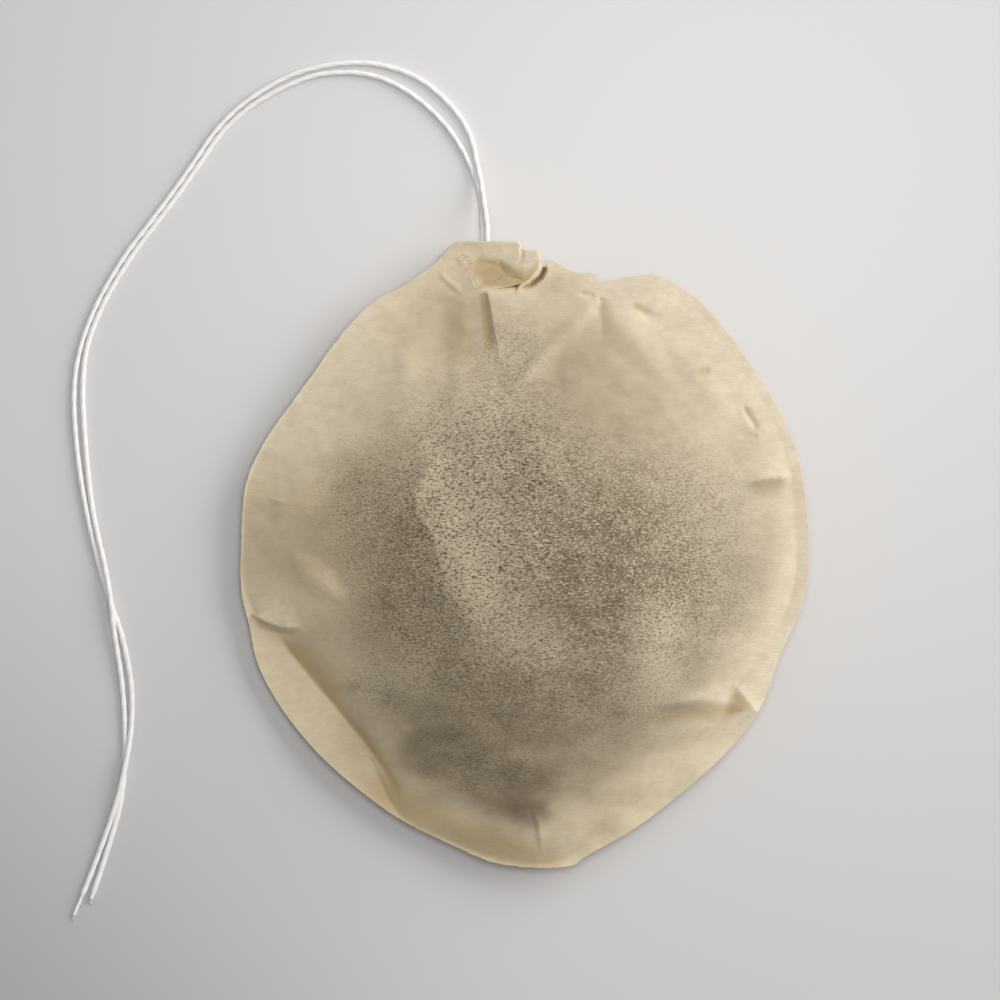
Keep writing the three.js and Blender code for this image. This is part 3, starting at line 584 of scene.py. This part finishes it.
def bumped(tree, height, depth, strength=1.0, under=None):
    inputs = {"Height": height, "Distance": depth, "Strength": strength}
    if under is not None:
        inputs["Normal"] = under
    return add_node(tree, "ShaderNodeBump", inputs).outputs[0]


def colour(name):
    """A named colour, turned from screen values into linear light by the usual curve."""
    return (*(((level / 255 + 0.055) / 1.055) ** 2.4 for level in COLOURS[name]), 1)


def filter_paper():
    """Thin unbleached paper with long fibres, and grounds showing through where it lies on them."""
    material, tree, shader = new_material("filter paper", roughness=0.9, specular=0.2)
    fibres = grain_noise(tree, "paper fibres", detail=4, rough=0.6)
    clouds = grain_noise(tree, "paper clouds", detail=3, rough=0.6)
    bare = mixed(tree, ramp(tree, clouds, 0.3, 0.7), colour("pale paper"), colour("clouded paper"))
    bare = mixed(tree, ramp(tree, fibres, 0.42, 0.72, high=0.2), bare, colour("paper fibre"))

    # Painted warm shade in folds, hollows and the pocket of the mouth.
    folded = mixed(tree, product(tree, paper_mark(tree, "warm"), FOLD_SHADE_TINT), bare, colour("folded paper"))
    clumps = grain_noise(tree, "clumps of grounds", detail=3, rough=0.6)
    # Grounds darkening the paper from beneath, and in some patches painted shade over the dome.
    stain_and_shade = product(tree, paper_mark(tree, "near"), ramp(tree, clumps, 0.25, 0.75, 0.88, 1.12))
    stained_and_shaded = mixed(tree, stain_and_shade, folded, colour("stained paper"))

    touch = paper_mark(tree, "touch")
    grains = grain_noise(tree, "single grains", detail=4, rough=0.65)
    dark = product(tree, ramp(tree, grains, 0.48, 0.65), ramp(tree, touch, 0.05, 0.95))
    speckled = mixed(tree, dark, stained_and_shaded, colour("dark grain"))
    pale = product(tree, ramp(tree, grains, 0.46, 0.34), ramp(tree, touch, 0.05, 0.95, high=0.8))
    speckled = mixed(tree, pale, speckled, colour("pale grain"))
    tree.links.new(speckled, shader.inputs["Base Color"])

    woven = bumped(tree, fibres, FIBRE_RELIEF, SOFT_RELIEF)
    pebbled = bumped(tree, product(tree, grains, touch), GRAIN_RELIEF, SOFT_RELIEF, woven)
    tree.links.new(pebbled, shader.inputs["Normal"])
    return material


def ground_coffee():
    """Dark roasted grains of mixed size."""
    material, tree, shader = new_material("ground coffee", roughness=0.8, specular=0.3)
    inputs = {"Vector": object_place(tree), "Scale": ROAST_CELLS_PER_METRE}
    cells = add_node(tree, "ShaderNodeTexVoronoi", inputs)
    shade = grain_noise(tree, "roast", detail=3, rough=0.6)
    brown = mixed(tree, ramp(tree, shade, 0.3, 0.7), colour("dark roast"), colour("light roast"))
    tree.links.new(brown, shader.inputs["Base Color"])
    tree.links.new(bumped(tree, cells.outputs["Distance"], ROAST_RELIEF), shader.inputs["Normal"])
    return material


def cotton_string():
    """White cotton with fine fibres."""
    material, tree, shader = new_material("cotton string", roughness=0.85, specular=0.2, sheen=0.2)
    fuzz = grain_noise(tree, "cotton fuzz", detail=3, rough=0.6)
    white = mixed(tree, ramp(tree, fuzz, 0.3, 0.7), colour("shaded cotton"), colour("bright cotton"))
    tree.links.new(white, shader.inputs["Base Color"])
    tree.links.new(bumped(tree, fuzz, FUZZ_RELIEF, SOFT_RELIEF), shader.inputs["Normal"])
    return material


def table_top():
    """Smooth pale grey, with painted shade: darker at the end that is far from the light."""
    material, tree, shader = new_material("table top", roughness=0.3, specular=0.5)
    inputs = {0: object_place(tree), 1: TABLE_SHADE_HEADING}
    towards_light = add_node(tree, "ShaderNodeVectorMath", inputs, operation="DOT_PRODUCT")
    share = ramp(tree, towards_light.outputs["Value"], TABLE_SHADE_FROM, TABLE_SHADE_TO)
    grey = mixed(tree, share, colour("shaded table"), colour("pale table"))
    tree.links.new(grey, shader.inputs["Base Color"])
    return material


# Pieces.


def new_piece(name, points, faces, material):
    """A smooth mesh piece on the pouch's one body."""
    mesh = bpy.data.meshes.new(name)
    mesh.from_pydata([tuple(point) for point in points], [], faces)
    mesh.update()
    piece = bpy.data.objects.new(name, mesh)
    bpy.context.collection.objects.link(piece)
    mesh.materials.append(material)
    mesh.shade_smooth()
    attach(piece, "root")
    return piece


# The string.


def frames_along(route):
    """Two directions across a route at each of its points, turning as little as they can."""
    heading = np.gradient(route, axis=0)
    heading /= np.linalg.norm(heading, axis=1)[:, None]
    across = np.zeros_like(route)
    across[0] = np.cross(heading[0], (0, 0, 1))
    across[0] /= np.linalg.norm(across[0])
    for k in range(1, len(route)):
        across[k] = across[k - 1] - heading[k] * np.dot(across[k - 1], heading[k])
        across[k] /= np.linalg.norm(across[k])
    return across, np.cross(heading, across)


def tube_faces(rings, sides, first=0):
    """Faces of a closed tube, with flat ends."""
    faces = [list(range(first + sides - 1, first - 1, -1))]
    for ring in range(rings - 1):
        for side in range(sides):
            a = first + ring * sides + side
            b = first + ring * sides + (side + 1) % sides
            faces.append([a, b, b + sides, a + sides])
    end = first + (rings - 1) * sides
    faces.append(list(range(end, end + sides)))
    return faces


def tube_points(route, radius, sides):
    """Rings round a route. The radius is one number for each point, or one for each point and side."""
    across, up = frames_along(route)
    angle = 2 * math.pi * np.arange(sides) / sides
    reach = np.broadcast_to(radius, (len(route), sides))[:, :, None]
    ring = across[:, None] * np.cos(angle)[None, :, None] + up[:, None] * np.sin(angle)[None, :, None]
    return (route[:, None] + ring * reach).reshape(-1, 3)


def ply_radius(route, worn_length, worn_width):
    """The radius of a twisted cord round each point: plies with grooves between, thinner at the worn end."""
    run = np.arange(len(route)) * STRING_STEP
    angle = 2 * math.pi * np.arange(STRING_SIDES) / STRING_SIDES
    turned = STRING_PLIES * (angle[None, :] - 2 * math.pi * run[:, None] / (STRING_PLIES * TWIST_LENGTH))
    plies = 1 - PLY_GROOVE * np.abs(np.sin(turned / 2)) ** PLY_ROUNDNESS
    waves = [noise.noise(Vector((stop / UNEVEN_LENGTH, 0, len(route)))) for stop in run]
    uneven = 1 + STRING_UNEVEN * np.array(waves)
    width = blend(worn_width, 1, ease(worn_length, worn_length + WORN_STEP, run[-1] - run))
    return STRING_DIAMETER / 2 * plies * (uneven * width)[:, None]


def tail_route(steps):
    start = np.array(STRING_EXIT) * half_size
    points = np.array(steps) + (*start, 0)
    return even_steps(smooth_curve(points, STRING_CURVE_STEPS), STRING_STEP)


def loose_fibre(route, before_end, length, aside):
    """A fibre that leaves the string before its end, strays aside and sinks to the table."""
    start = route[-1 - round(before_end / STRING_STEP)]
    heading = (route[-1] - start) / np.linalg.norm(route[-1] - start)
    left = np.cross((0, 0, 1), heading)
    share = np.linspace(0, 1, FIBRE_STOPS)[:, None]
    fibre = start + heading * length * share + left * aside * share ** 2
    fibre[:, 2] = blend(start[2], FIBRE_DIAMETER / 2, share[:, 0])
    return fibre


def string_tail(name, steps, material):
    """One free end of the string, from the back of the hem to its cut end."""
    route = tail_route(steps)
    worn_length, worn_width, fibres = WORN_ENDS[name]
    points = tube_points(route, ply_radius(route, worn_length, worn_width), STRING_SIDES)
    faces = tube_faces(len(route), STRING_SIDES)
    for fibre in fibres:
        faces += tube_faces(FIBRE_STOPS, FIBRE_SIDES, first=len(points))
        strand = tube_points(loose_fibre(route, *fibre), FIBRE_DIAMETER / 2, FIBRE_SIDES)
        points = np.vstack([points, strand])
    tail = new_piece(name, points * MM, faces, material)
    route = route * MM
    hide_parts("drawstring")


# The pouch.


def path_distance(path, x, y):
    """How far places are from a path, on which side (left is above 0), and how far along it."""
    path = np.array(path) * half_size
    lengths = np.linalg.norm(np.diff(path, axis=0), axis=1)
    nearest = np.full(x.shape, np.inf)
    side = np.zeros(x.shape)
    along = np.zeros(x.shape)
    run = 0
    for start, end, length in zip(path[:-1], path[1:], lengths):
        heading = (end - start) / length
        off_x, off_y = x - start[0], y - start[1]
        forward = np.clip(off_x * heading[0] + off_y * heading[1], 0, length)
        distance = np.hypot(off_x - forward * heading[0], off_y - forward * heading[1])
        closer = distance < nearest
        nearest = np.where(closer, distance, nearest)
        side = np.where(closer, heading[0] * off_y - heading[1] * off_x, side)
        along = np.where(closer, (run + forward) / lengths.sum(), along)
        run += length
    return nearest, side, along


def crease_height(crease, x, y, soft=False):
    """The height that one crease adds, with a sharp line or as a soft fold."""
    path, rise, left, right, (fade_in, fade_out) = crease
    corners = np.array(path) * half_size
    reach = max(left, right)
    near = (x > corners[:, 0].min() - reach) & (x < corners[:, 0].max() + reach)
    near &= (y > corners[:, 1].min() - reach) & (y < corners[:, 1].max() + reach)
    height = np.zeros(x.shape)
    distance, side, along = path_distance(path, x[near], y[near])
    strength = np.minimum(1, np.minimum(along / fade_in, (1 - along) / fade_out))
    width = np.where(side > 0, left, right) * blend(CREASE_END_WIDTH, 1, strength)
    slope = np.maximum(0, 1 - distance / width)
    height[near] = rise * strength * (ease(0, 1, slope) if soft else slope ** CREASE_CURVE)
    return height


def all_creases(x, y):
    soft = sum(crease_height(crease, x, y, soft=True) for crease in CREASES.values())
    return soft + sum(crease_height(crease, x, y) for crease in FINE_CREASES.values())


def crumple(x, y, sizes):
    height = np.zeros(x.shape)
    for spacing, rise in sizes:
        places = zip(x / spacing, y / spacing)
        waves = np.array([noise.noise(Vector((a, b, spacing))) for a, b in places])
        height -= rise * np.sqrt(waves ** 2 + CRUMPLE_ROUND ** 2)
    return height


def neck_share(x, y):
    middle = NECK_AT * half_size
    spread = NECK_SPREAD * half_size
    return np.exp(-((x - middle[0]) / spread[0]) ** 2 - ((y - middle[1]) / spread[1]) ** 2)


class PouchForm:
    """The heights of both papers over any place, from the rim and the creases."""

    def __init__(self):
        points = np.array(RIM_POINTS)
        points[:, :2] *= half_size
        self.rim = smooth_curve(points, RIM_STEPS, closed=True)
        self.crown = CROWN * half_size
        ray = self.rim[:, :2] - self.crown
        self.angle = np.arctan2(ray[:, 1], ray[:, 0])
        self.radius = np.hypot(ray[:, 0], ray[:, 1])
        turn = np.unwrap(self.angle)
        self.turns = turn[0] + 2 * math.pi * np.arange(SEAL_STOPS + 1) / SEAL_STOPS
        seal = np.interp(self.turns[:-1], turn, self.radius - self.rim[:, 2], period=2 * math.pi)
        window = np.ones(SEAL_SMOOTHING) / SEAL_SMOOTHING
        smooth = np.convolve(np.pad(seal, SEAL_SMOOTHING // 2, mode="wrap"), window, mode="valid")
        self.seal = np.append(smooth, smooth[0])

    def spots(self, x, y):
        """For each place: its share of the way to the seal, its turn, and how gentle its side is."""
        off_x, off_y = x - self.crown[0], y - self.crown[1]
        angle = np.arctan2(off_y, off_x)
        share = (angle - self.turns[0]) / (2 * math.pi) % 1
        inside = np.minimum(1, np.hypot(off_x, off_y) / self.seal_radius(angle))
        return inside, share, np.cos(angle - LEAN_TURN)

    def seal_radius(self, angle):
        return np.interp(self.turns[0] + (angle - self.turns[0]) % (2 * math.pi), self.turns, self.seal)

    def dome_reach(self, x, y):
        corner_x = np.where(x > self.crown[0], DOME["right"], DOME["left"]) * half_size[0]
        corner_y = np.where(y > self.crown[1], DOME["back"], DOME["front"]) * half_size[1]
        return np.hypot((x - self.crown[0]) / (corner_x - self.crown[0]),
                        (y - self.crown[1]) / (corner_y - self.crown[1]))

    def heights(self, x, y):
        """The height of the upper and of the lower paper."""
        inside, turn, gentle = self.spots(x, y)
        neck = neck_share(x, y)
        folds = all_creases(x, y)
        wave = sum(share * np.sin(2 * math.pi * count * turn + turned) for count, turned, share in RIM_WAVES)
        seam = RIM_HEIGHT + RIM_WAVE * wave * ease(WAVE_START, 1, inside) * (1 - neck)
        lean = blend(LEAN_STEEP, LEAN_GENTLE, ease(LEAN_FROM, LEAN_TO, gentle))
        reach = blend(np.minimum(1, self.dome_reach(x, y)), inside, ease(DOME_MEETS_SEAL, 1, inside))
        puff = PUFF_HEIGHT * (1 - reach ** 2) * (1 - lean * reach ** 2)
        crumples = crumple(x, y, CRUMPLES)
        upper = seam + PAPER + puff + NECK_RISE * neck + folds + crumples
        shared = (folds + crumples) * ease(BASE_FOLD_START, 1, inside) * (1 - neck)
        lower = (seam - PAPER) * ease(BASE_LIFT_START, 1, inside) * (1 - NECK_SAG * neck) + shared
        return upper, np.maximum(0, lower)


def flat_pouch(form):
    """Both papers as one closed skin, still flat, with Z as the level: upper, lower or between."""
    seal = form.seal_radius(form.angle) / form.radius
    rings = []
    for k in range(1, UPPER_RINGS + 1):
        rings.append((seal * k / UPPER_RINGS, UPPER))
    for k in range(1, FLANGE_RINGS + 1):
        rings.append((blend(seal, 1, k / FLANGE_RINGS), UPPER))
    rings.insert(-1, (1 - EDGE_BEVEL / form.radius, UPPER))
    for level in EDGE_LEVELS:
        rings.append((np.ones_like(seal), level))
    for k in range(FLANGE_RINGS, 0, -1):
        rings.append((blend(seal, 1, k / FLANGE_RINGS), LOWER))
    for k in range(LOWER_RINGS, 0, -1):
        rings.append((seal * k / LOWER_RINGS, LOWER))
    count = len(seal)
    points = [(*form.crown, UPPER)]
    for share, level in rings:
        place = form.crown + (form.rim[:, :2] - form.crown) * share[:, None]
        points.extend((a, b, level) for a, b in place)
    points.append((*form.crown, LOWER))
    faces = [(0, 1 + k, 1 + (k + 1) % count) for k in range(count)]
    for ring in range(len(rings) - 1):
        first = 1 + ring * count
        for k in range(count):
            following = (k + 1) % count
            faces.append((first + k, first + count + k, first + count + following, first + following))
    last = len(points) - 1
    faces += [(last, last - count + (k + 1) % count, last - count + k) for k in range(count)]
    return points, faces


def refine(mesh):
    """Halve the edges of the upper paper near its sharp creases, and twice over at the gathered mouth."""
    bm = bmesh.new()
    bm.from_mesh(mesh)
    for level in (0, 1):
        edges = [edge for edge in bm.edges if all(vert.co.z == UPPER for vert in edge.verts)]
        middles = np.array([(edge.verts[0].co + edge.verts[1].co) / 2 for edge in edges])
        x, y = middles[:, 0], middles[:, 1]
        off = (middles[:, :2] / half_size - FINE_AREA_AT) / FINE_AREA_REACH
        wanted = np.hypot(off[:, 0], off[:, 1]) < 1
        if level == 0:
            for path, *_ in FINE_CREASES.values():
                wanted |= path_distance(path, x, y)[0] < SHARP_REACH
        chosen = [edge for edge, take in zip(edges, wanted) if take]
        bmesh.ops.subdivide_edges(bm, edges=chosen, cuts=1, use_grid_fill=True)
    bm.to_mesh(mesh)
    bm.free()


def soft_patches(patches, x, y):
    """Patches that add up to no more than 1, thinned by the gaps in them: heaps of grounds, and painted
    shade.
    """
    places = np.column_stack([x, y]) / half_size
    bare = np.ones(x.shape)
    gaps = np.ones(x.shape)
    for middle, reach, strength, flatness in patches:
        off = (places - middle) / reach
        share = abs(strength) * np.exp(-np.hypot(off[:, 0], off[:, 1]) ** flatness)
        if strength > 0:
            bare *= 1 - share
        else:
            gaps *= 1 - share
    return (1 - bare) * gaps


def mark_the_paper(mesh, x, y, share):
    """Where the grounds are near the paper or touch it, and where shade is painted, in folds where plies
    overlap and in patches over the dome, as values of its points.
    """
    marks = {name: soft_patches(patches, x, y) for name, patches in GROUNDS_AND_SHADE.items()}
    bands = sum(crease_height(band, x, y, soft=True) for band in NEAR_BANDS.values())
    marks["near"] = np.clip(marks["near"] + bands, 0, 1)
    folds = sum(crease_height(fold, x, y, soft=True) for fold in WARM_SHADE_FOLDS.values())
    marks["warm"] = np.clip(folds + soft_patches(WARM_SHADE_PATCHES, x, y), 0, 1)
    for name, mark in marks.items():
        values = mesh.attributes.new(name, "FLOAT", "POINT")
        values.data.foreach_set("value", share * mark)


def closed_line(corners):
    """A closed line with even steps from each corner to the next."""
    ring = np.vstack([corners, corners[:1]])
    stops = np.arange(len(corners) * HEM_STEPS) / HEM_STEPS
    return np.column_stack([np.interp(stops, np.arange(len(ring)), axis) for axis in ring.T])


def hem_surface(form, places):
    """The height of the pouch at places in shares, without the bed that the hem lies in."""
    x, y = (np.array(places) * half_size).T
    return form.heights(x, y)[0] - crease_height(FINE_CREASES[HEM_BED], x, y)


def hem_lines(form):
    """The closed lines of the hem from its foot, over both its edges, to the foot and floor of the pocket."""
    columns = (np.array(column) for column in zip(*HEM_STATIONS))
    outer_at, outer_rise, foot_rise, inner_at, inner_rise, pocket_rise = columns
    floor_at = np.array(POCKET_FLOOR[:2])
    floor = np.array((*floor_at * half_size, hem_surface(form, [floor_at])[0] + POCKET_FLOOR[2]))
    outer_level = hem_surface(form, outer_at)
    inner_level = hem_surface(form, inner_at)

    def ring(places, level, inward):
        """A ring of points at these places, moved towards the pocket's floor by some millimetres."""
        places = places * half_size
        towards = floor[:2] - places
        towards /= np.linalg.norm(towards, axis=1)[:, None]
        return closed_line(np.column_stack([places + towards * inward, level]))

    foot = ring(outer_at, outer_level + foot_rise, LIP_UNDERCUT)
    outer_edge = ring(outer_at, outer_level + outer_rise, 0)
    inner_edge = ring(inner_at, inner_level + inner_rise, 0)
    pocket_foot = ring(inner_at, inner_level + pocket_rise, POCKET_STEP)
    return [foot, outer_edge, inner_edge, pocket_foot, np.broadcast_to(floor, foot.shape)]


def loft_through(lines):
    """Points and faces of a skin through the hem's lines, closed under its foot and at the pocket's floor."""
    rows = []
    for first, second, steps in zip(lines[:-1], lines[1:], HEM_ROWS):
        rows += [blend(first, second, k / steps) for k in range(steps)]
    count = len(lines[0])
    points = np.vstack(rows + [lines[-1][:1]])
    faces = [list(range(count - 1, -1, -1))]
    for row in range(len(rows) - 1):
        for k in range(count):
            following = (k + 1) % count
            a, b = row * count + k, row * count + following
            faces.append((b, a, a + count, b + count))
    last = len(points) - 1
    faces += [(last - count + (k + 1) % count, last - count + k, last) for k in range(count)]
    return points, faces


def soften(mesh):
    """Turn all faces outwards and round the folds off."""
    bm = bmesh.new()
    bm.from_mesh(mesh)
    bmesh.ops.recalc_face_normals(bm, faces=bm.faces)
    axes = {"use_axis_x": True, "use_axis_y": True, "use_axis_z": True}
    for _ in range(HEM_SMOOTHING_ROUNDS):
        bmesh.ops.smooth_vert(bm, verts=bm.verts, factor=HEM_SMOOTHING_SHARE, **axes)
    bm.to_mesh(mesh)
    bm.free()


def places_of(mesh):
    """The places of a mesh's points, one in each row."""
    places = np.zeros(len(mesh.vertices) * 3)
    mesh.vertices.foreach_get("co", places)
    return places.reshape(-1, 3)


def set_places(mesh, places):
    """Put a mesh's points at these places, given in millimetres."""
    mesh.vertices.foreach_set("co", (places * MM).ravel())
    mesh.update()


def gathered_hem(form, material):
    """The folded hem round the pocket of the mouth, lofted through its stations."""
    points, faces = loft_through(hem_lines(form))
    hem = new_piece("gathered_hem", points, faces, material)
    soften(hem.data)
    shaped = places_of(hem.data)
    x, y = shaped[:, 0], shaped[:, 1]
    creases = sum(crease_height(crease, x, y) for crease in HEM_CREASES.values())
    shaped[:, 2] += crumple(x, y, HEM_CRUMPLES) + creases
    mark_the_paper(hem.data, x, y, np.ones(x.shape))
    set_places(hem.data, shaped)
    return hem


def filter_pouch(material):
    """The paper pouch, pushed from its flat cut into the filled and gathered form."""
    form = PouchForm()
    points, faces = flat_pouch(form)
    pouch = new_piece("paper_pouch", points, faces, material)
    refine(pouch.data)
    x, y, level = places_of(pouch.data).T
    upper, lower = form.heights(x, y)
    share = (level - LOWER) / (UPPER - LOWER)
    mark_the_paper(pouch.data, x, y, share)
    set_places(pouch.data, np.column_stack([x, y, blend(lower, upper, share)]))
    hem = gathered_hem(form, material)
    bpy.ops.object.select_all(action="DESELECT")
    hem.select_set(True)
    pouch.select_set(True)
    bpy.context.view_layer.objects.active = pouch
    bpy.ops.object.join()
    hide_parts("filter_pouch")


def dress_the_grounds(material):
    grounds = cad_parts["coffee_grounds"]
    grounds.data.materials.clear()
    grounds.data.materials.append(material)


def lay_the_table(material):
    bpy.ops.mesh.primitive_plane_add(size=TABLE_SIZE, location=(0, 0, 0))
    table = bpy.context.object
    table.name = "table_top"
    table.data.materials.append(material)


bpy.ops.object.select_all(action="DESELECT")
add_camera()
cotton = cotton_string()
string_tail("string_right_end", RIGHT_TAIL, cotton)
string_tail("string_left_end", LEFT_TAIL, cotton)
filter_pouch(filter_paper())
dress_the_grounds(ground_coffee())
lay_the_table(table_top())
light_the_table()
